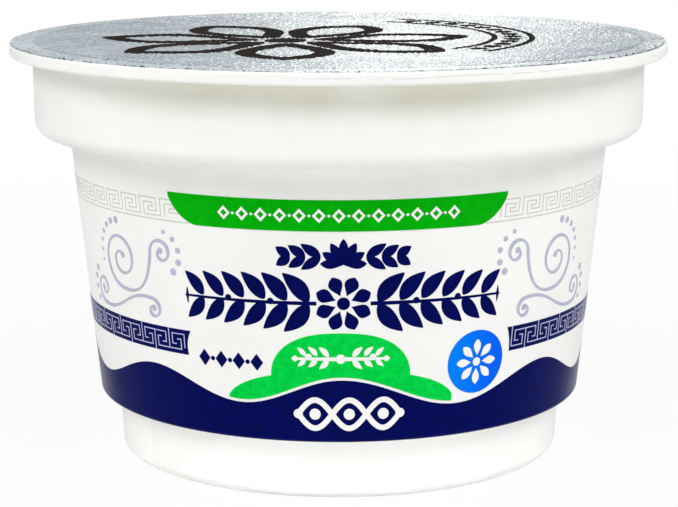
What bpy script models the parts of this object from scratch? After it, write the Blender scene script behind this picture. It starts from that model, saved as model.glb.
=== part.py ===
"""A sealed single-serving yogurt pot: a moulded plastic pot with a foil lid.

Metres, +Z up. The origin is the middle of the circle that the pot stands on, and
the front of the pot faces -Y. Both pieces are turned about Z from profiles whose
corners follow from the sizes below. The pack is shut, so the pot is solid inside.
"""

import math

import bpy

MM = 0.001

# Overall sizes
FLANGE_RADIUS = 44.0 * MM
POT_HEIGHT = 55.5 * MM  # floor to the face that the lid is sealed to

# Sealing flange: a thin plate whose outer edge turns down into a lip
FLANGE_THICKNESS = 0.8 * MM
FLANGE_REACH = 3.0 * MM  # from the collar's wall out to the flange's edge
LIP_DEPTH = 1.6 * MM
LIP_THICKNESS = 0.9 * MM
LIP_EDGE_RADIUS = 0.35 * MM
FLANGE_ROOT_RADIUS = 0.3 * MM

# Stacking collar below the flange
COLLAR_HEIGHT = 12.1 * MM  # sealing face to the collar's underside
COLLAR_DRAFT = math.radians(0.4)
COLLAR_CORNER_RADIUS = 2.0 * MM
LEDGE_REACH = 4.6 * MM  # from the collar's wall in to the body's wall
LEDGE_ROOT_RADIUS = 0.7 * MM

# Tapered body, the wall that is printed
BODY_DRAFT = math.radians(5.8)
BODY_CORNER_RADIUS = 0.6 * MM

# Foot, stepped in from the body, which nests in the collar of the pot below
FOOT_HEIGHT = 8.5 * MM
FOOT_STEP = 2.4 * MM
FOOT_DRAFT = math.radians(3.5)
FOOT_ROOT_RADIUS = 0.5 * MM
HEEL_RADIUS = 1.3 * MM

# Underside: a flat standing ring round a shallow raised panel
STANDING_RING_WIDTH = 1.6 * MM
RING_EDGE_RADIUS = 0.4 * MM
RECESS_DEPTH = 1.0 * MM
RECESS_DRAFT = math.radians(30.0)
RECESS_ROOT_RADIUS = 0.5 * MM

# Foil lid: a flat sealed band round a panel that stands slightly proud
SEAL_GAP = 0.3 * MM
FOIL_THICKNESS = 0.12 * MM
FOIL_MARGIN = 0.45 * MM  # how much smaller than the flange the foil is, all round
FOIL_SHIFT = 0.35 * MM  # the foil was sealed on slightly off centre, towards -X
PANEL_RISE = 0.08 * MM
PANEL_SLOPE = 0.5 * MM  # width of the slope between band and panel

# Facets
TURN_STEPS = 80
ARC_STEP = math.radians(30.0)  # the largest turn between two points of a fillet
LEAST_TURN = math.radians(7.5)  # a corner that turns less than this isn't filleted
WALL_SHARE = 0.45  # a fillet may use up to this share of each wall beside it


def clear_scene():
    """Empty the scene that the script is run in."""
    for obj in list(bpy.data.objects):
        bpy.data.objects.remove(obj, do_unlink=True)


def new_collection(name):
    """A collection for the pieces, linked to the scene."""
    collection = bpy.data.collections.new(name)
    bpy.context.scene.collection.children.link(collection)
    return collection


def new_material(name, colour, roughness, metallic):
    """A plain Principled material."""
    material = bpy.data.materials.new(name)
    material.use_nodes = True
    shader = material.node_tree.nodes["Principled BSDF"]
    shader.inputs["Base Color"].default_value = (*colour, 1.0)
    shader.inputs["Roughness"].default_value = roughness
    shader.inputs["Metallic"].default_value = metallic
    return material


def fillet(before, corner, after, radius):
    """Points of the arc that rounds a corner of the profile.

    The arc touches both walls at the same distance from the corner, and that
    distance is at most WALL_SHARE of either wall. A corner that hardly turns, or
    has no radius, stays a point.
    """
    in_x, in_z = before[0] - corner[0], before[1] - corner[1]
    out_x, out_z = after[0] - corner[0], after[1] - corner[1]
    in_length = math.hypot(in_x, in_z)
    out_length = math.hypot(out_x, out_z)
    in_x, in_z = in_x / in_length, in_z / in_length
    out_x, out_z = out_x / out_length, out_z / out_length
    opening = math.acos(max(-1.0, min(1.0, in_x * out_x + in_z * out_z)))
    turn = math.pi - opening
    if radius == 0.0 or turn < LEAST_TURN:
        return [corner]

    reach = radius * math.tan(turn / 2)
    reach = min(reach, WALL_SHARE * in_length, WALL_SHARE * out_length)
    radius = reach / math.tan(turn / 2)
    middle_x, middle_z = in_x + out_x, in_z + out_z
    middle_length = math.hypot(middle_x, middle_z)
    to_centre = radius / math.cos(turn / 2)
    centre_x = corner[0] + middle_x / middle_length * to_centre
    centre_z = corner[1] + middle_z / middle_length * to_centre

    start_x = corner[0] + in_x * reach - centre_x
    start_z = corner[1] + in_z * reach - centre_z
    clockwise = in_x * out_z - in_z * out_x > 0.0
    count = math.ceil(turn / ARC_STEP)
    points = []
    for step in range(count + 1):
        angle = turn * step / count * (-1.0 if clockwise else 1.0)
        cos_a, sin_a = math.cos(angle), math.sin(angle)
        x = centre_x + start_x * cos_a - start_z * sin_a
        z = centre_z + start_x * sin_a + start_z * cos_a
        points.append((x, z))
    return points


def rounded(corners):
    """The profile through (radius, height, fillet radius) corners, its ends kept."""
    points = [corners[0][:2]]
    for before, corner, after in zip(corners, corners[1:], corners[2:]):
        points.extend(fillet(before[:2], corner[:2], after[:2], corner[2]))
    points.append(corners[-1][:2])
    return points


def turned(name, corners, material, collection, centre_x=0.0):
    """A solid of revolution from a profile that runs down its outer side."""
    points = rounded(corners)
    mesh = bpy.data.meshes.new(name)
    vertices = [(x, 0.0, z) for x, z in points]
    edges = [(i, i + 1) for i in range(len(points) - 1)]
    mesh.from_pydata(vertices, edges, [])
    mesh.materials.append(material)

    obj = bpy.data.objects.new(name, mesh)
    obj.location.x = centre_x
    collection.objects.link(obj)
    screw = obj.modifiers.new("Turn", "SCREW")
    screw.axis = "Z"
    screw.angle = math.tau
    screw.steps = TURN_STEPS
    screw.render_steps = TURN_STEPS
    screw.use_merge_vertices = True
    screw.merge_threshold = 0.01 * MM
    screw.use_smooth_shade = True
    return obj


def flange_and_collar():
    """Corners from the middle of the sealing face down to the ledge."""
    lip_bottom = POT_HEIGHT - LIP_DEPTH
    lip_inside = FLANGE_RADIUS - LIP_THICKNESS
    plate_bottom = POT_HEIGHT - FLANGE_THICKNESS
    wall_top = FLANGE_RADIUS - FLANGE_REACH
    wall_drop = COLLAR_HEIGHT - FLANGE_THICKNESS
    wall_bottom = wall_top - wall_drop * math.tan(COLLAR_DRAFT)
    ledge = POT_HEIGHT - COLLAR_HEIGHT
    return [
        (0.0, POT_HEIGHT, 0.0),
        (wall_top, POT_HEIGHT, 0.0),
        (FLANGE_RADIUS, POT_HEIGHT, LIP_EDGE_RADIUS),
        (FLANGE_RADIUS, lip_bottom, LIP_EDGE_RADIUS),
        (lip_inside, lip_bottom, LIP_EDGE_RADIUS),
        (lip_inside, plate_bottom, FLANGE_ROOT_RADIUS),
        (wall_top, plate_bottom, FLANGE_ROOT_RADIUS),
        (wall_bottom, ledge, COLLAR_CORNER_RADIUS),
    ]


def body_and_foot(body_top):
    """Corners from the ledge down the printed wall and the foot to the floor."""
    ledge = POT_HEIGHT - COLLAR_HEIGHT
    body_bottom = body_top - (ledge - FOOT_HEIGHT) * math.tan(BODY_DRAFT)
    foot_top = body_bottom - FOOT_STEP
    foot_bottom = foot_top - FOOT_HEIGHT * math.tan(FOOT_DRAFT)
    return [
        (body_top, ledge, LEDGE_ROOT_RADIUS),
        (body_bottom, FOOT_HEIGHT, BODY_CORNER_RADIUS),
        (foot_top, FOOT_HEIGHT, FOOT_ROOT_RADIUS),
        (foot_bottom, 0.0, HEEL_RADIUS),
    ]


def underside(foot_bottom):
    """Corners of the standing ring and the raised panel inside it."""
    ring_inside = foot_bottom - HEEL_RADIUS - STANDING_RING_WIDTH
    panel_edge = ring_inside - RECESS_DEPTH * math.tan(RECESS_DRAFT)
    return [
        (ring_inside, 0.0, RING_EDGE_RADIUS),
        (panel_edge, RECESS_DEPTH, RECESS_ROOT_RADIUS),
        (0.0, RECESS_DEPTH, 0.0),
    ]


def make_pot(collection):
    """The moulded pot: flange, collar, tapered body and foot in one solid."""
    plastic = new_material("white_plastic", (0.90, 0.91, 0.89), 0.30, 0.0)
    corners = flange_and_collar()
    collar_bottom = corners[-1][0]
    corners += body_and_foot(collar_bottom - LEDGE_REACH)
    foot_bottom = corners[-1][0]
    corners += underside(foot_bottom)
    return turned("pot", corners, plastic, collection)


def make_foil_lid(collection):
    """The foil: its band lies over the flange, its panel over the pot's mouth."""
    aluminium = new_material("embossed_foil", (0.62, 0.65, 0.66), 0.35, 1.0)
    foil_radius = FLANGE_RADIUS - FOIL_MARGIN
    panel_radius = FLANGE_RADIUS - FLANGE_REACH - PANEL_SLOPE
    slope_foot = panel_radius + PANEL_SLOPE
    band_under = POT_HEIGHT + SEAL_GAP
    band_top = band_under + FOIL_THICKNESS
    corners = [
        (0.0, band_top + PANEL_RISE, 0.0),
        (panel_radius, band_top + PANEL_RISE, 0.0),
        (slope_foot, band_top, 0.0),
        (foil_radius, band_top, 0.0),
        (foil_radius, band_under, 0.0),
        (slope_foot, band_under, 0.0),
        (panel_radius, band_under + PANEL_RISE, 0.0),
        (0.0, band_under + PANEL_RISE, 0.0),
    ]
    return turned("foil_lid", corners, aluminium, collection, centre_x=-FOIL_SHIFT)


def main():
    clear_scene()
    collection = new_collection("yogurt_pot")
    make_pot(collection)
    make_foil_lid(collection)


main()
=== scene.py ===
"""The looks of a sealed yogurt pot: moulded wall, printed inks, embossed foil lid and studio.

Metres, +Z up, the front of the pot faces -Y. Every new piece is a surface worked out with
numpy. The print lies on the tapered wall in label coordinates: u runs round the wall to the
right, as an arc length at the label radius, and v is the height above the floor.
"""
import math

import bpy
import numpy as np
from bpy.props import FloatProperty, FloatVectorProperty, IntProperty, PointerProperty
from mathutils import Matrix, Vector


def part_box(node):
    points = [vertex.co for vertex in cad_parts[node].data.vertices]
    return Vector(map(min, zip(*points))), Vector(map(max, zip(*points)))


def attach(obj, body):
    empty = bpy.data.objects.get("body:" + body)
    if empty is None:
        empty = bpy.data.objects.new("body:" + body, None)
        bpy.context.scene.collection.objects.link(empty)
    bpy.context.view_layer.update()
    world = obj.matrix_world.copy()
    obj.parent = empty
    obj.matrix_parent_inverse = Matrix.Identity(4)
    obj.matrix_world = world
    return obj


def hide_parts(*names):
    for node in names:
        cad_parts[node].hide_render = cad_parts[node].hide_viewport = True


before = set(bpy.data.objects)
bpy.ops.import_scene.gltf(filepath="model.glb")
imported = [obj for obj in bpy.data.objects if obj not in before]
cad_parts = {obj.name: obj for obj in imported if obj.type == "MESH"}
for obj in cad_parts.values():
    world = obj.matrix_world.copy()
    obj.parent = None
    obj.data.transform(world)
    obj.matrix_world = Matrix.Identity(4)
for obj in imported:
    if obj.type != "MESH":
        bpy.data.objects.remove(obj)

bl_info = {
    "name": "Yogurt pot",
    "version": (1, 0, 0),
    "blender": (4, 5, 0),
    "location": "3D View > Sidebar > Yogurt pot",
    "description": "Builds the wall, print, foil lid and studio of a yogurt pot",
    "category": "Add Mesh",
}

MM = 0.001
TAU = math.tau
POT_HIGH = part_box("pot")[1]
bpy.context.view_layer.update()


# ---------------------------------------------------------------- settings


def length(name, millimetres, description):
    """A length property with its default in millimetres."""
    return FloatProperty(
        name=name, description=description, default=millimetres * MM, precision=6, unit="LENGTH"
    )


def angle(name, degrees, description):
    """An angle property with its default in degrees."""
    return FloatProperty(
        name=name, description=description, default=math.radians(degrees), subtype="ANGLE"
    )


def scalar(name, default, description, unit="NONE"):
    """A plain number property, with a unit where it has one."""
    return FloatProperty(
        name=name, description=description, default=default, precision=4, unit=unit
    )


def linear(level):
    """The scene-linear value of one display level from 0 to 255."""
    share = level / 255.0
    return share / 12.92 if share <= 0.04045 else ((share + 0.055) / 1.055) ** 2.4


def colour(name, display, description):
    """A colour property whose default is given in display levels."""
    return FloatVectorProperty(
        name=name, description=description, default=tuple(linear(level) for level in display),
        size=3, min=0.0, max=1.0, subtype="COLOR",
    )


class WallSettings(bpy.types.PropertyGroup):
    """Sizes of the moulded pot below the lid."""

    flange_thickness: length("Flange thickness", 0.8, "Thickness of the sealing flange")
    flange_reach: length("Flange reach", 3.0, "From the collar's wall out to the flange's edge")
    lip_depth: length("Lip depth", 1.6, "Height of the flange's turned-down lip")
    lip_thickness: length("Lip thickness", 0.9, "Thickness of the lip")
    lip_edge_radius: length("Lip edge radius", 0.35, "Rounding of the lip's edges")
    flange_root_radius: length("Flange root radius", 0.3, "Rounding under the flange")
    collar_height: length("Collar height", 12.1, "Sealing face to the collar's underside")
    collar_draft: angle("Collar draft", 0.4, "Taper of the collar's wall")
    collar_corner_radius: length("Collar corner radius", 2.0, "Rounding of its lower corner")
    ledge_reach: length("Ledge reach", 4.6, "From the collar's wall in to the body's wall")
    ledge_root_radius: length("Ledge root radius", 0.7, "Rounding where the ledge meets the body")
    body_draft: angle("Body draft", 5.8, "Taper of the printed wall")
    body_corner_radius: length("Body corner radius", 0.6, "Rounding of the body's lower corner")
    foot_height: length("Foot height", 8.2, "Height of the foot")
    foot_step: length("Foot step", 2.4, "From the body's wall in to the foot's wall")
    foot_draft: angle("Foot draft", 3.5, "Taper of the foot's wall")
    foot_root_radius: length("Foot root radius", 0.5, "Rounding where the foot meets the body")
    heel_radius: length("Heel radius", 1.3, "Rounding of the foot's lower edge")
    ring_width: length("Standing ring width", 1.6, "Width of the flat ring that the pot stands on")
    ring_edge_radius: length("Ring edge radius", 0.4, "Rounding of the ring's inner edge")
    recess_depth: length("Recess depth", 1.0, "How far the base panel is raised")
    recess_draft: angle("Recess draft", 30.0, "Slope of the recess's wall")
    recess_root_radius: length("Recess root radius", 0.5, "Rounding round the base panel")
    steps: IntProperty(name="Steps", description="Steps round the pot", default=288, min=32)


class FoilSettings(bpy.types.PropertyGroup):
    """Sizes of the embossed foil and its print."""

    thickness: length("Thickness", 0.06, "Thickness of the foil")
    seal_lift: length("Seal lift", 0.02, "Height of the foil's underside above the flange")
    margin: length("Margin", 0.26, "How much smaller than the flange the foil is, all round")
    shift: length("Shift", 0.17, "How far off centre the foil was sealed on, towards the left")
    pebble_pitch: length("Pebble pitch", 0.68, "Mean distance between embossed pebbles")
    pebble_height: length("Pebble height", 0.11, "Height of an embossed pebble")
    pebble_radius: length("Pebble radius", 0.40, "Radius of an embossed pebble")
    swell: length("Swell", 0.05, "Height of the slow waves in the foil")
    swell_pitch: length("Swell pitch", 17.0, "Length of the slow waves in the foil")
    ruffle: length("Ruffle", 0.10, "How far the trimmed edge wanders in and out")
    flutter: length("Flutter", 0.30, "How far the trimmed edge wanders up")
    rows: IntProperty(name="Rows", description="Rows of points across the foil", default=309)
    panel_rise: length("Panel rise", 0.08, "Height of the middle above the sealed band")
    panel_slope: length("Panel slope", 0.55, "Width of the slope between the middle and that band")
    print_lift: length("Print lift", 0.05, "Height of the lid's print above the foil")
    petal_length: length("Petal length", 19.0, "Length of a printed petal")
    petal_width: length("Petal width", 10.0, "Width of a printed petal")
    petal_line: length("Petal line", 2.6, "Width of a petal's outline")


class PrintSettings(bpy.types.PropertyGroup):
    """Places and sizes of the print on the wall, in label coordinates."""

    label_radius: length("Label radius", 34.5, "Radius at which u is measured")
    ink: length("Ink thickness", 0.025, "Thickness of one layer of ink")
    banner_left: length("Banner left", -21.75, "Left tip of the banner")
    banner_right: length("Banner right", 21.4, "Right tip of the banner")
    banner_top: length("Banner top", 39.3, "Upper edge of the banner")
    banner_bottom: length("Banner bottom", 35.4, "Lower edge of the banner")
    banner_end: length("Banner end", 4.0, "Length of the banner's curved ends")
    pale_left: length("Pale key left", -23.1, "Last upright of the pale key at the left")
    pale_right: length("Pale key right", 24.05, "First upright of the pale key at the right")
    pale_bottom: length("Pale key bottom", 36.05, "Lower line of the pale key")
    pale_line: length("Pale key line", 0.15, "Width of the pale key's line")
    pale_rule: length("Pale rule", 35.55, "Height of the thin line below the pale key")
    garland_v: length("Garland height", 26.3, "Height of the laurel garland's stem")
    garland_u: length("Garland centre", 0.55, "Middle of the laurel garland")
    garland_reach: length("Garland reach", 20.6, "From the garland's middle to its tip")
    sprig_v: length("Palmette height", 31.2, "Foot of the small palmette")
    band_bottom: length("Key band bottom", 18.35, "Lower edge of the dark key band")
    band_top: length("Key band top", 21.55, "Upper edge of the dark key band")
    band_left: length("Key band left", -23.5, "Last hanging T of the key band at the left")
    band_right: length("Key band right", 24.0, "First hanging T of the key band at the right")
    band_line: length("Key band line", 0.13, "Width of the key band's light line")
    mound_u: length("Mound centre", 0.2, "Middle of the green mound")
    mound_top: length("Mound top", 22.5, "Top of the green mound")
    disc_u: length("Disc centre u", 18.4, "Middle of the blue disc, along the wall")
    disc_v: length("Disc centre v", 17.7, "Middle of the blue disc, up the wall")
    disc_radius: length("Disc radius", 4.1, "Radius of the blue disc")
    wave_gap: length("Wave gap", 0.4, "White line between the mound and the wave")
    scroll_u: length("Scroll centre", 30.3, "Middle of each group of scrolls")
    scroll_line: length("Scroll line", 0.62, "Width of a scroll's line")


class ColourSettings(bpy.types.PropertyGroup):
    """Colours of the plastic, the inks and the foil."""

    plastic: colour("Plastic", (249, 249, 246), "White moulded plastic")
    # painted shade: a warm grey tint high on the collar, under the flange
    painted_flange_shade: colour("Head space", (232, 231, 215), "Plastic where the pot behind it is empty")
    navy: colour("Navy", (0, 6, 76), "Dark blue ink")
    green_dark: colour("Green, darker", (0, 169, 6), "Green ink of the banner")
    green_light: colour("Green, lighter", (0, 209, 70), "Green ink of the mound")
    blue_left: colour("Blue, left", (0, 130, 250), "Blue ink at the disc's left")
    blue_right: colour("Blue, right", (0, 95, 245), "Blue ink at the disc's right")
    lilac: colour("Lilac", (188, 190, 222), "Light lines on the key band")
    scroll: colour("Scroll grey", (180, 182, 202), "Grey ink of the scrolls")
    pale: colour("Pale grey", (204, 208, 201), "Grey ink of the pale key")
    foil: colour("Foil", (236, 244, 248), "Embossed foil")
    # painted shade in the foil's hollows, on its knurl and on the slope round the middle
    painted_hollow_shade: colour("Foil hollows", (150, 168, 182), "Foil between its pebbles")
    # painted shadow under a lifted cut edge and on the foil's underside
    painted_edge_shadow: colour("Foil edge", (62, 80, 106), "Cut edge of the foil")
    foil_print: colour("Foil print", (44, 40, 38), "Dark ink on the foil")


class StudioSettings(bpy.types.PropertyGroup):
    """Camera, lights and floor."""

    lens: scalar("Lens", 114.02, "Focal length", "CAMERA")
    camera_x: length("Camera x", 0.1, "Camera to the right of the pot's axis")
    camera_y: length("Camera y", -290.2, "Camera in front of the pot")
    camera_z: length("Camera z", 81.9, "Camera above the floor")
    pitch: angle("Pitch", 10.93, "How far the camera looks down")
    roll: angle("Roll", 0.1, "How far the camera leans")
    fill: scalar("Fill", 0.3, "Strength of the room's soft light")
    mirror: scalar("Mirror", 0.82, "Strength of the room in reflections")
    front: scalar("Front", 1.5, "Power of the wide softbox in front", "POWER")
    left: scalar("Left", 1.4, "Power of the softbox on the left", "POWER")
    right: scalar("Right", 1.52, "Power of the softbox on the right", "POWER")
    low: scalar("Low", 0.3, "Power of the low softbox in front", "POWER")
    strip: scalar("Strip", 0.0013, "Power of the strip along the floor", "POWER")
    rim: scalar("Rim", 0.08, "Power of the lamp behind the lid", "POWER")
    floor_white: scalar("Floor white", 0.9, "White share of the floor near the pot")


class PotSettings(bpy.types.PropertyGroup):
    """All the settings of the yogurt pot."""

    wall: PointerProperty(type=WallSettings, name="Wall")
    foil: PointerProperty(type=FoilSettings, name="Foil")
    label: PointerProperty(type=PrintSettings, name="Print")
    colours: PointerProperty(type=ColourSettings, name="Colours")
    studio: PointerProperty(type=StudioSettings, name="Studio")


def settings():
    """The scene's yogurt pot settings."""
    return bpy.context.scene.yogurt_pot


# ---------------------------------------------------------------- shader graph


class Value:
    """A float socket whose arithmetic adds Math nodes."""

    def __init__(self, graph, socket):
        self.graph = graph
        self.socket = socket

    def math(self, operation, *others):
        """This value and the others through one Math node."""
        inputs = dict(enumerate((self, *others)))
        node = self.graph.add("ShaderNodeMath", {"operation": operation}, inputs)
        return Value(self.graph, node.outputs[0])

    def __add__(self, other):
        return self.math("ADD", other)

    def __sub__(self, other):
        return self.math("SUBTRACT", other)

    def __mul__(self, other):
        return self.math("MULTIPLY", other)

    def __rsub__(self, other):
        return (self * -1.0).math("ADD", other)

    __radd__ = __add__
    __rmul__ = __mul__

    def ramp(self, low, high):
        """0 at low, 1 at high, smooth between. Low may be the larger of the two."""
        node = self.graph.add(
            "ShaderNodeMapRange", {"interpolation_type": "SMOOTHSTEP"},
            {"Value": self, "From Min": low, "From Max": high},
        )
        return Value(self.graph, node.outputs[0])


class Graph:
    """A material's or a world's node tree, emptied."""

    def __init__(self, owner):
        owner.use_nodes = True
        self.tree = owner.node_tree
        self.tree.nodes.clear()

    def add(self, kind, options=None, sockets=None):
        """One node: its options are set first, then the values or links of its sockets."""
        node = self.tree.nodes.new(kind)
        for name, value in (options or {}).items():
            setattr(node, name, value)
        for name, value in (sockets or {}).items():
            value = getattr(value, "socket", value)
            if isinstance(value, bpy.types.NodeSocket):
                self.tree.links.new(value, node.inputs[name])
            else:
                node.inputs[name].default_value = value
        return node

    def place(self):
        """Object coordinates."""
        return self.add("ShaderNodeTexCoord").outputs["Object"]

    def axes(self):
        """Object coordinates as three values."""
        node = self.add("ShaderNodeSeparateXYZ", None, {0: self.place()})
        return [Value(self, socket) for socket in node.outputs]

    def from_axis(self):
        """Distance from the pot's axis."""
        x, y, _ = self.axes()
        return (x * x + y * y).math("SQRT")

    def noise(self, size, detail):
        """Noise from 0 to 1 whose blobs are about the given size in metres."""
        node = self.add("ShaderNodeTexNoise", None,
                        {"Vector": self.place(), "Scale": 1.0 / size, "Detail": detail})
        return Value(self, node.outputs[0])

    def cells(self, size):
        """Distance to the middle of the nearest cell, in cells."""
        node = self.add("ShaderNodeTexVoronoi", None,
                        {"Vector": self.place(), "Scale": 1.0 / size})
        return Value(self, node.outputs["Distance"])

    def rays(self):
        """1 for camera rays, else 0; and 1 for rays from metal, gloss or glass, else 0."""
        path = self.add("ShaderNodeLightPath")
        camera, mirror, through = (Value(self, path.outputs[f"Is {kind} Ray"])
                                   for kind in ("Camera", "Glossy", "Transmission"))
        return camera, mirror.math("MAXIMUM", through)

    def attribute(self, name):
        """A number that the mesh carries at its points."""
        node = self.add("ShaderNodeAttribute", {"attribute_name": name})
        return Value(self, node.outputs["Fac"])

    def grazing(self):
        """0 where the surface faces the viewer, 1 at its outline."""
        return Value(self, self.add("ShaderNodeLayerWeight").outputs["Facing"])

    def mix(self, factor, first, second):
        """From the first colour at 0 to the second at 1."""
        first, second = [(*c, 1.0) if isinstance(c, tuple) else c for c in (first, second)]
        node = self.add("ShaderNodeMix", {"data_type": "RGBA"}, {0: factor, 6: first, 7: second})
        return node.outputs[2]

    def bump(self, height, distance, strength=1.0):
        """A normal bent by a height given as a share of the distance in metres."""
        node = self.add("ShaderNodeBump", None,
                        {"Height": height, "Distance": distance, "Strength": strength})
        return node.outputs["Normal"]

    def surface(self, **sockets):
        """A Principled shader wired to the output."""
        named = {name.replace("_", " "): value for name, value in sockets.items()}
        shader = self.add("ShaderNodeBsdfPrincipled", None, named)
        self.add("ShaderNodeOutputMaterial", None, {"Surface": shader.outputs[0]})


# ---------------------------------------------------------------- finishes

INK_GLOSS, NAVY_GLOSS = 0.34, 0.30  # roughness
# Each ink: its colour, how light its grain goes at both ends, the grain's size and its gloss
INKS = {
    "pale_ink": ("pale", 1.0, 1.06, 0.7 * MM, INK_GLOSS),
    "navy_ink": ("navy", 1.0, 1.35, 1.6 * MM, NAVY_GLOSS),
    "white_ink": ("plastic", 1.0, 0.97, 0.8 * MM, INK_GLOSS),
    "banner_green": ("green_dark", 1.0, 1.18, 1.0 * MM, INK_GLOSS),
    "mound_green": ("green_light", 0.9, 1.1, 0.8 * MM, INK_GLOSS),
    "scroll_ink": ("scroll", 1.0, 1.12, 0.9 * MM, INK_GLOSS),
    "lilac_ink": ("lilac", 1.0, 1.1, 0.7 * MM, INK_GLOSS),
}
INK_SKIN = (0.8 * MM, 0.010 * MM)  # size and height of the fine unevenness of ink
INK_SHINE = 0.03  # ink hardly reflects when seen square on
COAT_START = 0.62  # the coat sets in where the view is this grazing
COAT_MOST = 0.8  # and reaches this weight at the outline
MIDTONES = (0.3, 0.7)  # the part of a noise that goes from one colour to the other
SHADOWED_EDGE, SEALED_EDGE = -1.0, 0.2  # relief at the foil's cut edge: where it is up it gets painted shadow, where it is down none


def rgb(name, scale=1.0):
    """A named colour of the settings as a tuple, lightened or darkened."""
    return tuple(min(1.0, channel * scale) for channel in getattr(settings().colours, name))


def material(name, recipe):
    """The named material, made by its recipe the first time."""
    found = bpy.data.materials.get(name)
    if found is None:
        found = bpy.data.materials.new(name)
        recipe(Graph(found))
    return found


def satin(graph, tint, gloss, skin, **more):
    """Wire a satin surface whose gloss and normal follow a skin of the given size and height."""
    size, height = skin
    uneven = graph.noise(size, 3.0)
    graph.surface(
        Base_Color=tint, Roughness=gloss + uneven * 0.08,
        Normal=graph.bump(uneven, height, 0.5), **more,
    )


def moulded_plastic(graph):
    """White plastic: faint cloudiness, satin gloss, very fine orange peel. High on the collar,
    just under the flange, painted shade makes it a little warmer and darker in patches, most of
    all in the middle. A faint broken line runs along part of the lip."""
    x, _, z = graph.axes()
    radius = graph.from_axis()
    cloud = graph.noise(9 * MM, 3.0).ramp(0.35, 0.7)
    tint = graph.mix(cloud, rgb("plastic"), rgb("plastic", 0.975))

    # Painted shade under the flange: warmer and darker in patches, strongest in the middle
    shade_height = z.ramp(48.5 * MM, 51.5 * MM)
    on_collar = radius.ramp(42.3 * MM, 41.7 * MM)
    shade_patch = graph.noise(14 * MM, 2.0).ramp(0.35, 0.6) * 0.75 + 0.15
    middle = x.math("ABSOLUTE").ramp(36 * MM, 12 * MM) * 0.8 + 0.2
    tint = graph.mix(shade_height * on_collar * shade_patch * middle, tint, rgb("painted_flange_shade"))

    line_height = POT_HIGH.z - 0.66 * MM
    wander = (graph.noise(16 * MM, 1.0) - 0.5) * (0.7 * MM)
    from_line = (z - line_height + wander).math("ABSOLUTE")
    along = x.ramp(-8 * MM, 0.0) * x.ramp(30 * MM, 24 * MM)
    broken = graph.noise(2.5 * MM, 2.0).ramp(0.38, 0.5) * along
    on_lip = radius.ramp(43.5 * MM, 43.9 * MM)
    line = from_line.ramp(0.11 * MM, 0.03 * MM) * on_lip * broken
    tint = graph.mix(line, tint, rgb("plastic", 0.8))
    satin(graph, tint, 0.30, (0.9 * MM, 0.012 * MM), IOR=1.49)


def ink(name):
    """The named ink: two near colours in a fine grain, an uneven gloss, and a soft coat that
    pales it at the outline."""
    tone, dark, light, size, gloss = INKS[name]

    def recipe(graph):
        grain = graph.noise(size, 4.0).ramp(*MIDTONES)
        satin(
            graph, graph.mix(grain, rgb(tone, dark), rgb(tone, light)), gloss, INK_SKIN,
            Specular_IOR_Level=INK_SHINE, Coat_Roughness=0.3,
            Coat_Weight=graph.grazing().ramp(COAT_START, 1.0) * COAT_MOST,
        )

    return material(name, recipe)


def blue_ink(graph):
    """Blue that deepens from the disc's left to its right."""
    rightwards = graph.axes()[0].ramp(13.0 * MM, 21.0 * MM)
    tint = graph.mix(rightwards, rgb("blue_left"), rgb("blue_right"))
    satin(graph, tint, INK_GLOSS, INK_SKIN, Specular_IOR_Level=INK_SHINE)


def lid_ink(graph):
    """Matt near-black ink on foil, with a fine grain."""
    grain = graph.noise(1.2 * MM, 4.0)
    tint = graph.mix(grain.ramp(*MIDTONES), rgb("foil_print"), rgb("foil_print", 1.6))
    graph.surface(
        Base_Color=tint, Roughness=0.5 + grain * 0.2,
        Normal=graph.bump(grain, 0.02 * MM, 0.5), Specular_IOR_Level=0.0,
    )


def embossed_foil(graph):
    """Aluminium foil, unevenly glossy. Painted shade darkens the hollows between the pebbles, by
    the relief that the mesh carries, the edges of a fine crush over them and the slope round the
    middle, so the pebbles read bright; painted shadow darkens the cut edge in places and the
    underside."""
    crush = graph.cells(0.34 * MM)
    cloud = graph.noise(8 * MM, 2.0)
    relief = graph.attribute("relief")
    # painted shade between the pebbles and between the crush cells
    hollow = relief.ramp(0.55, 0.0) * 0.75 + crush.ramp(0.3, 0.75) * 0.3
    hollow = hollow * (graph.noise(6 * MM, 2.0).ramp(0.35, 0.65) * 0.45 + 0.55)
    tint = graph.mix(cloud.ramp(*MIDTONES), rgb("foil", 0.82), rgb("foil", 1.08))
    tint = graph.mix(hollow, tint, rgb("painted_hollow_shade"))
    # painted shadow at the cut edge and underside, and painted shade on the slope round the middle
    tint = graph.mix(relief.ramp(0.05, -0.3), tint, rgb("painted_edge_shadow"))
    graph.surface(
        Base_Color=tint, Metallic=1.0, Roughness=0.10 + cloud * 0.10,
        Normal=graph.bump(crush, 0.06 * MM), Specular_Tint=(0.90, 0.93, 0.95, 1.0),
    )


def pale_floor(graph):
    """A pale matt floor. Seen by the camera it is mostly white near the pot, where the rest
    keeps the shadow, and wholly white further off, where it meets the white room."""
    grain = graph.noise(3 * MM, 3.0).ramp(*MIDTONES)
    tint = graph.mix(grain, (0.86, 0.86, 0.86), (0.88, 0.88, 0.88))
    base = graph.add("ShaderNodeBsdfDiffuse", None, {"Color": tint})
    white = graph.add("ShaderNodeEmission", None, {"Strength": 1.0})
    away = graph.from_axis().ramp(0.06, 0.30)
    near = settings().studio.floor_white
    share = graph.rays()[0] * (away * (1 - near) + near)
    both = graph.add("ShaderNodeMixShader", None,
                     {0: share, 1: base.outputs[0], 2: white.outputs[0]})
    graph.add("ShaderNodeOutputMaterial", None, {"Surface": both.outputs[0]})


# ---------------------------------------------------------------- meshes


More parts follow.
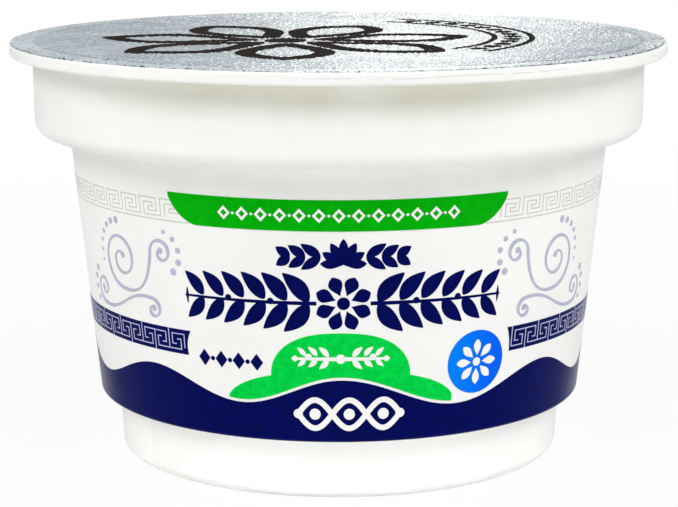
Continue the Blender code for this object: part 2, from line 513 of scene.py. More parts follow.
def grid_faces(rows, columns, closed):
    """Quads of a grid of points numbered row by row; closed joins the last row to the first."""
    row = np.arange(rows if closed else rows - 1)[:, None]
    column = np.arange(columns - 1)[None, :]
    after = (row + 1) % rows
    corners = (row * columns + column, after * columns + column,
               after * columns + column + 1, row * columns + column + 1)
    return np.stack(np.broadcast_arrays(*corners), -1).reshape(-1, 4)


def signed_volume(points, faces):
    """Six times the volume inside quads, positive when they face outwards."""
    a, b, c, d = (points[faces[:, k]] for k in range(4))
    return np.einsum("ij,ij->", a, np.cross(b, c)) + np.einsum("ij,ij->", a, np.cross(c, d))


def slab(outer, inner, closed=False):
    """A closed solid between two grids of the same size: both grids and the walls between
    their edges. The faces are turned over where the volume comes out negative."""
    rows, columns = outer.shape[:2]
    points = np.concatenate([outer.reshape(-1, 3), inner.reshape(-1, 3)])
    numbers = np.arange(rows * columns).reshape(rows, columns)
    sheet = grid_faces(rows, columns, closed)
    if closed:
        loops = [np.append(numbers[:, -1], numbers[0, -1]),
                 np.append(numbers[:, 0], numbers[0, 0])[::-1]]
    else:
        loops = [np.concatenate([numbers[:, -1], numbers[-1, -2::-1],
                                 numbers[-2::-1, 0], numbers[0, 1:]])]
    below = rows * columns
    walls = [np.stack([a[:-1], a[:-1] + below, a[1:] + below, a[1:]], -1) for a in loops]
    faces = np.concatenate([sheet, sheet[:, ::-1] + below, *[w[:, ::-1] for w in walls]])
    if signed_volume(points - points.mean(0), faces) < 0:
        faces = faces[:, ::-1]
    return points, faces


def merged(solids):
    """Several (points, faces) as one."""
    points, faces, start = [], [], 0
    for some_points, some_faces in solids:
        points.append(some_points)
        faces.append(some_faces + start)
        start += len(some_points)
    return np.concatenate(points), np.concatenate(faces)


def piece(name, solid, finish, crease=30.0):
    """A mesh object from points and quads (a quad whose last two corners agree is a triangle),
    smooth up to the crease angle, riding on the pot."""
    points, faces = solid
    sides = np.where(faces[:, 2] == faces[:, 3], 3, 4)
    corners = faces.ravel()[(np.arange(4) < sides[:, None]).ravel()]
    mesh = bpy.data.meshes.new(name)
    mesh.vertices.add(len(points))
    mesh.vertices.foreach_set("co", points.astype(np.float32).ravel())
    mesh.loops.add(len(corners))
    mesh.loops.foreach_set("vertex_index", corners.astype(np.int32))
    mesh.polygons.add(len(faces))
    mesh.polygons.foreach_set("loop_start", (np.cumsum(sides) - sides).astype(np.int32))
    mesh.update(calc_edges=True)
    if mesh.validate():
        raise RuntimeError(f"{name}: the mesh had faults")
    mesh.shade_smooth()
    mesh.set_sharp_from_angle(angle=math.radians(crease))
    mesh.materials.append(finish)
    obj = bpy.data.objects.new(name, mesh)
    bpy.context.scene.collection.objects.link(obj)
    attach(obj, "root")
    return obj


# ---------------------------------------------------------------- the wall

ARC_STEP = math.radians(6.0)
LEAST_TURN = math.radians(7.5)  # a corner that turns less isn't rounded
WALL_SHARE = 0.45  # a rounding may use up to this share of each wall beside it
SUPPORT = 0.12 * MM  # a point this far before and after a rounding keeps the walls flat
SUPPORT_SHARE = 0.3  # but at most this share of what the rounding leaves of a wall


def normalised(ways):
    """Flat directions, one or many, brought to length 1."""
    return ways / np.hypot(*ways.T)[..., None]


def fillet(before, corner, after, radius):
    """Points of the arc that touches both walls, with one point on each wall beside it.

    The arc's reach along a wall is radius times tan(turn / 2), at most WALL_SHARE of either
    wall; its centre lies on the corner's bisector at radius / cos(turn / 2)."""
    before, corner, after = (np.array(p[:2]) for p in (before, corner, after))
    inward, outward = before - corner, after - corner
    in_length, out_length = np.hypot(*inward), np.hypot(*outward)
    inward, outward = normalised(inward), normalised(outward)
    turn = math.pi - math.acos(float(np.clip(inward @ outward, -1.0, 1.0)))
    if radius == 0.0 or turn < LEAST_TURN:
        return corner[None, :]
    reach = min(radius * math.tan(turn / 2), WALL_SHARE * in_length, WALL_SHARE * out_length)
    radius = reach / math.tan(turn / 2)
    centre = corner + normalised(inward + outward) * radius / math.cos(turn / 2)
    side = -np.sign(inward[0] * outward[1] - inward[1] * outward[0])
    angles = side * np.linspace(0.0, turn, math.ceil(turn / ARC_STEP) + 1)
    arm = corner + inward * reach - centre
    x = arm[0] * np.cos(angles) - arm[1] * np.sin(angles)
    z = arm[0] * np.sin(angles) + arm[1] * np.cos(angles)
    support = min(SUPPORT, *(SUPPORT_SHARE * (wall - reach) for wall in (in_length, out_length)))
    ends = [corner + way * (reach + support) for way in (inward, outward)]
    return np.concatenate([ends[:1], centre + np.stack([x, z], -1), ends[1:]])


def rounded(corners):
    """The profile through (radius, height, rounding) corners, its ends kept."""
    arcs = [fillet(a, b, c, b[2]) for a, b, c in zip(corners, corners[1:], corners[2:])]
    return np.concatenate([[corners[0][:2]], *arcs, [corners[-1][:2]]])


def turned(profile, steps):
    """A solid of revolution: the profile, which runs from axis to axis down its outer side,
    turned about Z. Its two ends become poles of triangles."""
    turn = TAU * np.arange(steps) / steps
    radius, height = profile[1:-1, 0], profile[1:-1, 1]
    x = np.sin(turn)[:, None] * radius
    y = -np.cos(turn)[:, None] * radius
    z = np.broadcast_to(height, x.shape)
    points = np.stack([x, y, z], -1)
    columns = len(radius)
    sheet = grid_faces(steps, columns, True)[:, ::-1]
    top, bottom = steps * columns, steps * columns + 1
    first = np.arange(steps) * columns
    first_after = np.roll(first, -1)
    last, last_after = first + columns - 1, first_after + columns - 1
    top_fan = np.stack([np.full(steps, top), first, first_after, first_after], -1)
    bottom_fan = np.stack([np.full(steps, bottom), last_after, last, last], -1)
    poles = [[0.0, 0.0, profile[0, 1]], [0.0, 0.0, profile[-1, 1]]]
    faces = np.concatenate([sheet, top_fan, bottom_fan])
    return np.concatenate([points.reshape(-1, 3), poles]), faces


def collar_corners(wall):
    """Corners from the middle of the sealing face down to the collar's lower corner."""
    edge, top = POT_HIGH.x, POT_HIGH.z
    plate, lip = top - wall.flange_thickness, top - wall.lip_depth
    inside, wall_top = edge - wall.lip_thickness, edge - wall.flange_reach
    drop = wall.collar_height - wall.flange_thickness
    wall_bottom = wall_top - drop * math.tan(wall.collar_draft)
    return [
        (0.0, top, 0.0),
        (wall_top, top, 0.0),
        (edge, top, wall.lip_edge_radius),
        (edge, lip, wall.lip_edge_radius),
        (inside, lip, wall.lip_edge_radius),
        (inside, plate, wall.flange_root_radius),
        (wall_top, plate, wall.flange_root_radius),
        (wall_bottom, top - wall.collar_height, wall.collar_corner_radius),
    ]


def body_line(wall):
    """Radius of the printed wall at the ledge, the ledge's height, and the wall's slope."""
    ledge = POT_HIGH.z - wall.collar_height
    return collar_corners(wall)[-1][0] - wall.ledge_reach, ledge, math.tan(wall.body_draft)


def body_corners(wall):
    """Corners from the ledge down the wall and the foot to the middle of the base."""
    body_top, ledge, slope = body_line(wall)
    body_bottom = body_top - (ledge - wall.foot_height) * slope
    foot_top = body_bottom - wall.foot_step
    foot_bottom = foot_top - wall.foot_height * math.tan(wall.foot_draft)
    ring_inside = foot_bottom - wall.heel_radius - wall.ring_width
    panel_edge = ring_inside - wall.recess_depth * math.tan(wall.recess_draft)
    return [
        (body_top, ledge, wall.ledge_root_radius),
        (body_bottom, wall.foot_height, wall.body_corner_radius),
        (foot_top, wall.foot_height, wall.foot_root_radius),
        (foot_bottom, 0.0, wall.heel_radius),
        (ring_inside, 0.0, wall.ring_edge_radius),
        (panel_edge, wall.recess_depth, wall.recess_root_radius),
        (0.0, wall.recess_depth, 0.0),
    ]


class AddWall(bpy.types.Operator):
    """Turn the moulded pot from its profile, with every corner rounded."""

    bl_idname = "yogurt_pot.add_wall"
    bl_label = "Moulded pot"

    def execute(self, context):
        wall = settings().wall
        solid = turned(rounded(collar_corners(wall) + body_corners(wall)), wall.steps)
        finish = material("moulded_plastic", moulded_plastic)
        pot = piece("pot_wall", solid, finish, crease=40.0)
        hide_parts("pot")
        return {"FINISHED"}


# ---------------------------------------------------------------- grids for the print


def square_to_disc(count):
    """A count by count grid of the unit disc: (x, y) of the square goes to
    (x sqrt(1 - y^2 / 2), y sqrt(1 - x^2 / 2)), so the disc has no pole."""
    side = np.linspace(-1.0, 1.0, count)
    x, y = np.meshgrid(side, side, indexing="ij")
    return np.stack([x * np.sqrt(1 - y * y / 2), y * np.sqrt(1 - x * x / 2)], -1)


def aimed(foot, heading, along, off):
    """Flat points that lie the given distances along and to the left of a heading."""
    cos_h, sin_h = math.cos(heading), math.sin(heading)
    return np.stack([foot[0] + along * cos_h - off * sin_h,
                     foot[1] + along * sin_h + off * cos_h], -1)


def polar(centre, radius, turn):
    """Flat points at a distance and an angle from a centre."""
    return np.stack([centre[0] + radius * np.cos(turn), centre[1] + radius * np.sin(turn)], -1)


def across(points, ahead, width, count):
    """The grid of a line: at each point the sides lie half the width out, square to the way
    ahead there."""
    normal = np.stack([-ahead[:, 1], ahead[:, 0]], -1)
    half = 0.5 * np.broadcast_to(width, len(points))
    side = np.linspace(-1.0, 1.0, count)
    return points[:, None, :] + normal[:, None, :] * half[:, None, None] * side[None, :, None]


def stroke(points, width, count=2):
    """The grid of a line: at each point the sides are offset along the mean of the two
    neighbouring normals, lengthened by 1 / cos of half the turn, so corners are mitred."""
    ways = normalised(np.diff(points, axis=0))
    before, after = np.vstack([ways[:1], ways]), np.vstack([ways, ways[-1:]])
    lean = 1 + np.einsum("ij,ij->i", before, after)
    return across(points, (before + after) / lean[:, None], width, count)


def resampled(points, step):
    """A polyline with its corners kept and no stretch longer than the step."""
    points = np.asarray(points, float)
    lengths = np.hypot(*np.diff(points, axis=0).T)
    runs = [np.linspace(a, b, max(1, math.ceil(size / step)), endpoint=False)
            for a, b, size in zip(points, points[1:], lengths)]
    return np.concatenate([*runs, points[-1:]])


def between(u, low, high):
    """The grid between a lower and an upper curve over u."""
    return np.stack([np.stack([u, u], -1), np.stack([low, high], -1)], -1)


def oval(u, v, half_u, half_v, count):
    """The grid of an ellipse."""
    return square_to_disc(count) * (half_u, half_v) + (u, v)


def dot(place, radius, count=7):
    """The grid of a round dot."""
    return oval(*place, radius, radius, count)


def lozenge_ring(u, v, half_u, half_v, line):
    """The grid of a lozenge's outline, to be closed by its caller: four corners, each side cut
    in three, at two sizes. The line is 1.3 times as wide at a corner as along a side."""
    corners = np.array([(1, 0), (0, 1), (-1, 0), (0, -1), (1, 0)], float)
    loop = resampled(corners, 0.5)[:-1]
    inner = np.array([1.0, 1.0 - 1.3 * line / min(half_u, half_v)])
    return loop[:, None, :] * inner[None, :, None] * (half_u, half_v) + (u, v)


def leaf(foot, heading, size, width, belly=0.45, bend=0.0):
    """The grid of a leaf: along its axis s from 0 to 1 the half width is the width times
    sin(pi s^k)^0.85 / 2, k set so that the belly lies where asked, and bend curves the axis.
    The axis stops just short of both tips, so that no face is flat."""
    rows, columns = 15, 5
    s = np.linspace(0.012, 0.988, rows)
    power = math.log(0.5) / math.log(belly)
    half = 0.5 * width * np.sin(math.pi * s ** power) ** 0.85
    side = np.linspace(-1.0, 1.0, columns)
    along = np.broadcast_to((s * size)[:, None], (rows, columns))
    off = half[:, None] * side + (bend * size * np.sin(math.pi * s))[:, None]
    return aimed(foot, heading, along, off)


def rosette(centre, petals, first, hub, size, width, belly):
    """The grids of leaves that point outwards from a hub, the first one turned by a share of
    the step between them."""
    ways = [TAU * (number + first) / petals for number in range(petals)]
    return [leaf(polar(centre, hub, way), way, size, width, belly) for way in ways]


def mirrored(heading, side):
    """A heading as it is at the right (side 1), or mirrored for the left (side -1)."""
    return heading if side > 0 else math.pi - heading


def laurel(centre_u, v, reach, spacing, size, width, spread, side):
    """The grids of leaf pairs along a gently arched stem that runs out to one side, with
    berries between every other pair. The leaves shrink by a quarter towards the tip."""
    grids = []
    count = int(reach / spacing)
    start, arch, beside, berry = 0.9 * MM, 0.25 * MM, 0.16 * MM, 0.42 * MM
    for number in range(count):
        along = start + number * spacing
        foot = np.array([centre_u + side * along,
                         v + arch * math.sin(along / reach * math.pi)])
        scale = 1.0 - 0.25 * number / count
        for way in (1, -1):
            base = foot + (0.0, way * beside)
            grids.append(leaf(base, mirrored(way * spread, side), size * scale, width * scale,
                              0.42, 0.05 * way * side))
        if number % 2 and number < count - 1:
            grids.append(dot((foot[0] + side * 0.75 * spacing, foot[1]), berry))
    tip = centre_u + side * (start + count * spacing)
    last_size = reach + 0.5 * MM - abs(tip - centre_u)
    grids.append(leaf((tip - side * 0.5 * MM, v), mirrored(0.0, side), last_size, width))
    stem = np.stack([np.linspace(centre_u, tip, 30), np.full(30, v)], -1)
    grids.append(stroke(stem, np.linspace(0.5 * MM, 0.28 * MM, 30)))
    return grids


# ---------------------------------------------------------------- the foil lid

PEBBLE_TABLE = 256  # the pebbles' jitter repeats after this many
PEBBLE_SEED, EDGE_SEED = 7, 11
BAND_PRESS = 0.6  # share of the pebbles' height that is left on the sealed band
EDGE_KNOTS = 900  # steps round the ragged edge
EDGE_FALL = 60  # power of the radius at which the raggedness dies away inwards
KNURL_SHARE = 0.3  # share of the sealed band's points that get painted shade
KNURL_LOW, KNURL_HIGH = -0.05, 0.9  # relief of its points with painted shade and of its bright ones
GROOVE_SHADE = 1.4  # how much painted shade lies on the slope between the middle and the band
ROSETTE_HEART, BEAD_CENTRE = (-7 * MM, -6 * MM), (-6 * MM, 0.0)


def pebbles(x, y):
    """Relief of the foil's pebbles from 0 to 1: raised cosines round jittered grid points,
    (1 + cos(pi d / radius)) / 2 of the distance d to the nearest one, each its own size."""
    foil = settings().foil
    pitch = foil.pebble_pitch
    cell_x, cell_y = np.floor(x / pitch).astype(int), np.floor(y / pitch).astype(int)
    random = np.random.RandomState(PEBBLE_SEED)
    jitter = random.uniform(0.08, 0.92, (PEBBLE_TABLE, PEBBLE_TABLE, 2))
    size = random.uniform(0.55, 1.0, (PEBBLE_TABLE, PEBBLE_TABLE))
    height = np.zeros_like(x)
    for step_x in (-1, 0, 1):
        for step_y in (-1, 0, 1):
            near_x, near_y = cell_x + step_x, cell_y + step_y
            entry = (near_x % PEBBLE_TABLE, near_y % PEBBLE_TABLE)
            middle_x, middle_y = jitter[entry][..., 0], jitter[entry][..., 1]
            away = np.hypot(x - (near_x + middle_x) * pitch, y - (near_y + middle_y) * pitch)
            reach = np.clip(away / (foil.pebble_radius * size[entry]), 0.0, 1.0)
            height = np.maximum(height, size[entry] * 0.5 * (1 + np.cos(math.pi * reach)))
    return height


def foil_under(x, y):
    """Height of the foil's underside: just above the flange, and down over the flange's
    rounded edge by R - sqrt(R^2 - past^2) where a point lies past the rounding's start."""
    edge = settings().wall.lip_edge_radius
    past = np.clip(np.hypot(x, y) - (POT_HIGH.x - edge), 0.0, 0.95 * edge)
    return POT_HIGH.z + settings().foil.seal_lift - edge + np.sqrt(edge * edge - past * past)


def panel_share(x, y):
    """1 over the foil's middle and 0 on the band sealed to the flange, straight between."""
    inside = settings().wall.flange_reach
    slope = settings().foil.panel_slope
    return np.clip((POT_HIGH.x - inside - np.hypot(x, y)) / slope, 0.0, 1.0)


def on_foil(plan, lift):
    """Points at a lift above the foil's face, from plan (x, y): the underside, the thickness,
    the raised middle, the pebbles, pressed flatter on the sealed band, and slow waves as the
    product of two sines."""
    foil = settings().foil
    x, y = plan[..., 0], plan[..., 1]
    wave = TAU / foil.swell_pitch
    slow = np.sin(x * wave + 0.7) * np.sin(y * wave * 0.7 + x * wave * 0.35)
    panel = panel_share(x, y)
    height = (foil_under(x, y) + foil.thickness + foil.panel_rise * panel
              + foil.pebble_height * pebbles(x, y) * (BAND_PRESS + (1 - BAND_PRESS) * panel)
              + foil.swell * 0.5 * (1 + slow) + lift)
    return np.stack([x, y, height], -1)


def round_edge(turn, levels):
    """Levels at even steps round the foil's edge, straight between, read at each turn."""
    knots = len(levels)
    return np.interp(turn / TAU % 1.0 * knots, np.arange(knots + 1), np.append(levels, levels[0]))


class AddFoil(bpy.types.Operator):
    """Lay the embossed foil over the flange: a disc of points lifted by the relief, a ragged
    trimmed edge that goes down to the flange, with painted shadow in places, as under an edge
    that isn't sealed down, and a plain underside painted dark as shade."""

    bl_idname = "yogurt_pot.add_foil"
    bl_label = "Foil lid"

    def execute(self, context):
        foil = settings().foil
        count = foil.rows
        centre, radius = -foil.shift, POT_HIGH.x - foil.margin
        disc = square_to_disc(count)
        turn = np.arctan2(disc[..., 1], disc[..., 0])
        near_edge = np.hypot(disc[..., 0], disc[..., 1]) ** EDGE_FALL
        random = np.random.RandomState(EDGE_SEED)
        inward, upward = [round_edge(turn, levels)
                          for levels in random.uniform(0.0, 1.0, (2, EDGE_KNOTS))]
        # The edge is loosest at both sides of the front half
        loose = (np.clip(2.6 * np.abs(np.cos(turn)) - 0.7, 0.2, 1.0)
                 * np.clip(0.5 - 3 * np.sin(turn), 0.15, 1))
        upward = upward ** 2 * loose
        reach = radius - foil.ruffle * inward * near_edge
        plan = disc * reach[..., None] + (centre, 0.0)
        face = on_foil(plan, foil.flutter * upward * near_edge)

        panel = panel_share(face[..., 0], face[..., 1])
        chance = random.uniform(0.0, 1.0, panel.shape)
        knurl = np.where(chance < KNURL_SHARE, KNURL_LOW, KNURL_HIGH)
        relief = pebbles(face[..., 0], face[..., 1])
        # the knurl's dark points and the dip on the slope round the middle are painted shade
        relief = relief * panel + knurl * (1 - panel) - GROOVE_SHADE * panel * (1 - panel)

        numbers = np.arange(count * count).reshape(count, count)
        rim = np.concatenate([numbers[:-1, 0], numbers[-1, :-1],
                              numbers[:0:-1, -1], numbers[0, :0:-1]])
        foot = face.reshape(-1, 3)[rim]
        foot[:, 2] = foil_under(foot[:, 0], foot[:, 1])
        low = count * count + np.arange(len(rim))
        low_after, rim_after = np.roll(low, -1), np.roll(rim, -1)
        middle = np.full(len(rim), count * count + len(rim))
        walls = np.stack([rim, low, low_after, rim_after], -1)
        base = np.stack([middle, low_after, low, low], -1)
        pole = [[centre, 0.0, foil_under(centre, 0.0)]]
        points = np.concatenate([face.reshape(-1, 3), foot, pole])
        faces = np.concatenate([grid_faces(count, count, False), walls, base])
        finish = material("embossed_foil", embossed_foil)
        lid = piece("foil", (points, faces), finish, crease=60.0)

        # Painted shadow: in places the cut edge is dark, most at both sides of the front half, and
        # so is the underside's centre
        chance = np.repeat(random.uniform(0.0, 1.0, len(rim) // 2), 2)
        cut = np.where(chance < 0.5 * loose.ravel()[rim], SHADOWED_EDGE, SEALED_EDGE)
        relief = np.concatenate([relief.ravel(), cut, [SHADOWED_EDGE]])
        carried = lid.data.attributes.new("relief", "FLOAT", "POINT")
        carried.data.foreach_set("value", relief.astype(np.float32))
        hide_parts("foil_lid")
        return {"FINISHED"}


def petal(centre, heading, start, size, width, line):
    """The closed outline of a petal as a line of even width: along its axis s the half width
    is the width times sin(pi s^1.3)^0.8 / 2, out on one side and back on the other."""
    share = (1 - np.cos(np.linspace(0.0, math.pi, 110))) / 2
    half = 0.5 * width * np.sin(math.pi * share ** 1.3) ** 0.8
    out = np.stack([start + share * size, half], -1)
    loop = np.concatenate([out, (out * (1, -1))[-2:0:-1]])
    ahead = normalised(np.roll(loop, -1, axis=0) - np.roll(loop, 1, axis=0))
    grid = across(loop, ahead, line, 9)
    return aimed(centre, heading, grid[..., 0], grid[..., 1])


class AddFoilPrint(bpy.types.Operator):
    """Print a large open rosette and a fine arc of beads between two lines on the foil."""

    bl_idname = "yogurt_pot.add_foil_print"
    bl_label = "Lid print"

    def execute(self, context):
        foil = settings().foil
        petals, first_heading, hub = 7, 14, 5 * MM
        closed = [petal(ROSETTE_HEART, math.radians(first_heading + number * 360 / petals), hub,
                        foil.petal_length, foil.petal_width, foil.petal_line)
                  for number in range(petals)]
        grids = [dot(ROSETTE_HEART, 2.8 * MM, 21)]
        inner_line, beads, outer_line = 27 * MM, 29.5 * MM, 32 * MM
        turn = np.radians(np.linspace(-40, 62, 240))
        grids += [stroke(polar(BEAD_CENTRE, radius, turn), 0.8 * MM, 4)
                  for radius in (inner_line, outer_line)]
        grids += [dot(polar(BEAD_CENTRE, beads, turn), 1.2 * MM, 9)
                  for turn in np.radians(np.arange(-36, 62, 7))]
        lift, sink = foil.print_lift, -0.5 * foil.print_lift
        solids = [slab(on_foil(grid, lift), on_foil(grid, sink), True) for grid in closed]
        solids += [slab(on_foil(grid, lift), on_foil(grid, sink)) for grid in grids]
        finish = material("foil_print", lid_ink)
        piece("foil_print", merged(solids), finish, crease=60.0)
        return {"FINISHED"}


# ---------------------------------------------------------------- the print on the wall

INK_SINK = 0.4  # share of the ink's thickness that lies below the wall's surface
TURN_STEP = 0.6 * MM  # longest stretch of a line that goes round the wall


def on_wall(label, height):
    """Points at a height above the printed wall.

    Above the body's lower rounding the radius falls in a straight line with v. Below it, the
    point goes on along the rounding's arc by the same length, so that ink wraps the corner."""
    wall = settings().wall
    body_top, ledge, slope = body_line(wall)
    lean, arc = wall.body_draft, wall.body_corner_radius
    start = wall.foot_height + arc * math.tan((math.pi / 2 - lean) / 2) * math.cos(lean)
    turn = label[..., 0] / settings().label.label_radius
    v = label[..., 1]
    bend = np.clip((start - v) / arc, 0.0, None)
    straight = np.maximum(v, start)
    radius = body_top - (ledge - straight) * slope
    radius = radius - arc * math.cos(lean) + (arc + height) * np.cos(lean + bend)
    z = straight + arc * math.sin(lean) - (arc + height) * np.sin(lean + bend)
    return np.stack([radius * np.sin(turn), -radius * np.cos(turn), z], -1)


def inked(grid, layer, closed=False):
    """A layer of ink over a grid of label points: layer 0 lies on the wall, 1 on layer 0."""
    thick = settings().label.ink
    return slab(on_wall(grid, thick * (layer + 1)), on_wall(grid, -INK_SINK * thick), closed)


def printed(name, grids, ink_name, layer=0, closed=()):
    """A piece of the print: open grids and closed ones in one layer of ink."""
    solids = [inked(grid, layer) for grid in grids]
    solids += [inked(grid, layer, True) for grid in closed]
    piece(name, merged(solids), ink(ink_name))


def around():
    """The wall's circumference in label coordinates."""
    return TAU * settings().label.label_radius


def run_round(first, last, units, unit):
    """One line through a unit repeated from first to last: each unit's (share of its length,
    height) points are laid end to end."""
    pitch = (last - first) / units
    shape = np.array(unit)
    starts = first + pitch * np.arange(units)
    u = starts[:, None] + shape[None, :, 0] * pitch
    v = np.broadcast_to(shape[:, 1], u.shape)
    return np.stack([u.ravel(), v.ravel()], -1)


class AddPaleKey(bpy.types.Operator):
    """Print the pale Greek key band round the top of the wall, over a thin rule."""

    bl_idname = "yogurt_pot.add_pale_key"
    bl_label = "Pale key band"

    def execute(self, context):
        sizes = settings().label
        unit_length, units = 3.53 * MM, 50
        low = sizes.pale_bottom
        inner, middle = low + 0.55 * MM, low + 1.05 * MM
        hook, high = low + 1.6 * MM, low + 2.2 * MM
        unit = [(0.0, low), (0.0, high), (0.81, high), (0.81, inner), (0.41, inner),
                (0.41, middle), (0.63, middle), (0.63, hook), (0.2, hook), (0.2, low)]
        first = sizes.pale_right - unit_length
        last = sizes.pale_left + around() + unit_length
        key = stroke(resampled(run_round(first, last, units, unit), TURN_STEP), sizes.pale_line)
        hidden = 3 * MM  # the rule's ends lie below the banner
        u = np.linspace(sizes.banner_right - hidden, sizes.banner_left + around() + hidden, 420)
        half = 0.5 * sizes.pale_line
        rule = between(u, np.full_like(u, sizes.pale_rule - half),
                       np.full_like(u, sizes.pale_rule + half))
        printed("print_key_pale", [key, rule], "pale_ink")
        return {"FINISHED"}


class AddBanner(bpy.types.Operator):
    """Print the green banner with curved ends and a white chain of lozenges on it.

    Its lower edge rises at each end as a superellipse |x|^p + |y|^p = 1 with p = 1.6."""

    bl_idname = "yogurt_pot.add_banner"
    bl_label = "Banner"

    def execute(self, context):
        sizes = settings().label
        left, right, end = sizes.banner_left, sizes.banner_right, sizes.banner_end
        power, tip = 1.6, 0.04 * MM
        curve = left + end * np.linspace(0.0, 1.0, 26)[:-1] ** power
        u = np.concatenate([curve + tip, np.linspace(left + end, right - end, 70),
                            (left + right - curve)[::-1] - tip])
        from_end = np.minimum(u - left, right - u)
        rise = (1 - np.clip(1 - from_end / end, 0, 1) ** power) ** (1 / power)
        high = np.full_like(u, sizes.banner_top)
        low = sizes.banner_top - (sizes.banner_top - sizes.banner_bottom) * rise
        printed("print_banner", [between(u, low, high)], "banner_green", 1)

        middle_v = 0.5 * (sizes.banner_top + sizes.banner_bottom)
        count, pitch = 13, 2.32 * MM
        centres = [(number - (count - 1) / 2) * pitch for number in range(count)]
        rings = [lozenge_ring(u, middle_v, half_u=0.80 * MM, half_v=0.88 * MM, line=0.3 * MM)
                 for u in centres]
        dots = [dot((u + pitch / 2, middle_v), 0.17 * MM, 5) for u in centres[:-1]]
        printed("print_banner_chain", dots, "white_ink", 2, rings)
        return {"FINISHED"}


class AddGarland(bpy.types.Operator):
    """Print a bold laurel garland and a small palmette between leaves above it."""

    bl_idname = "yogurt_pot.add_garland"
    bl_label = "Laurel garland"

    def execute(self, context):
        sizes = settings().label
        centre = (sizes.garland_u, sizes.garland_v)
        gap = 3.3 * MM  # from the middle of the rosette to each laurel
        grids = [dot(centre, 0.8 * MM, 11)]
        grids += rosette(centre, petals=8, first=0.5, hub=1.0 * MM, size=2.6 * MM,
                         width=1.75 * MM, belly=0.62)
        for side in (-1, 1):
            grids += laurel(sizes.garland_u + side * gap, sizes.garland_v,
                            reach=sizes.garland_reach - gap, spacing=2.75 * MM,
                            size=4.85 * MM, width=2.1 * MM, spread=math.radians(48), side=side)
        printed("print_garland", grids, "navy_ink")

        foot = (sizes.garland_u, sizes.sprig_v)
        grids = [leaf(foot, math.radians(90 + fan * 29), (3.3 - 0.16 * abs(fan)) * MM,
                      1.15 * MM, 0.6) for fan in range(-3, 4)]
        for side in (-1, 1):
            for number, size in enumerate((2.9, 2.5, 2.1)):
                start = (foot[0] + side * (2.7 + number * 1.85) * MM, foot[1] + 1.0 * MM)
                for way in (1, -1):
                    heading = mirrored(way * math.radians(34), side)
                    grids.append(leaf(start, heading, size * MM, 1.25 * MM))
        printed("print_palmette", grids, "navy_ink")
        return {"FINISHED"}


def spiral(centre, radius, turns, start):
    """A clockwise Archimedean spiral from its outer end inwards: with the angle the radius
    falls evenly, from the given one to 0.16 of it."""
    share = np.linspace(0.0, 1.0, 90)
    return polar(centre, radius * (1 - 0.84 * share), math.radians(start) - TAU * turns * share)


def joined(first, second, reach):
    """A cubic curve that leaves the start of one line and enters the start of another, each
    along its own direction reversed."""
    away = [normalised(line[0] - line[1]) * reach for line in (first, second)]
    a, d = first[0], second[0]
    b, c = a + away[0], d + away[1]
    t = np.linspace(0.0, 1.0, 40)[:, None]
    return (1 - t) ** 3 * a + 3 * (1 - t) ** 2 * t * b + 3 * (1 - t) * t * t * c + t ** 3 * d


def pen(line, nib):
    """Widths from 0.45 to 1 of a line drawn with a broad nib: 0.45 + 0.55 |sin(way - nib)| of
    the line's direction, evened out over nine points, and thinner at both ends."""
    ahead = np.gradient(line, axis=0)
    width = 0.45 + 0.55 * np.abs(np.sin(np.arctan2(ahead[:, 1], ahead[:, 0]) - nib))
    width = np.convolve(np.pad(width, 4, mode="edge"), np.full(9, 1 / 9), mode="valid")
    taper = np.sin(np.linspace(0.0, math.pi, len(line))) ** 0.3
    return width * (0.5 + 0.5 * taper)


class AddScrolls(bpy.types.Operator):
    """Print grey filigree at both sides: spirals joined by sweeping lines, with rows of dots."""

    bl_idname = "yogurt_pot.add_scrolls"
    bl_label = "Filigree scrolls"

    def execute(self, context):
        sizes = settings().label
        middle_v = 28.0 * MM
        # Centres of the spirals, from the middle of their group
        large, small, low, least = np.array([(-1.4, 1.4), (6.6, 3.2), (-7.2, -3.4),
                                             (4.4, -4.4)]) * MM
        half = []
        for first, second, reach in (
            (spiral(large, 3.9 * MM, 1.6, 270), spiral(small, 1.9 * MM, 1.2, 180), 4.0 * MM),
            (spiral(low, 2.0 * MM, 1.25, 270), spiral(least, 1.4 * MM, 1.1, 90), 5.0 * MM),
        ):
            line = np.concatenate([first[::-1], joined(first, second, reach)[1:-1], second])
            half.append(stroke(line, sizes.scroll_line * pen(line, math.radians(35))))
            half += [dot(end, 0.42 * MM) for end in (line[0], line[-1])]
        for centre, radius, begin, end, count in (
            (large, 5.0 * MM, 95, 190, 7), (small, 2.9 * MM, -50, 75, 5),
            (low, 3.0 * MM, 130, 215, 4),
        ):
            for number, turn in enumerate(np.radians(np.linspace(begin, end, count))):
                half.append(dot(polar(centre, radius, turn), (0.48 - 0.045 * number) * MM))
        grids = [grid * (-side, 1.0) + (side * sizes.scroll_u, middle_v)
                 for side in (-1, 1) for grid in half]
        printed("print_scrolls", grids, "scroll_ink")
        return {"FINISHED"}


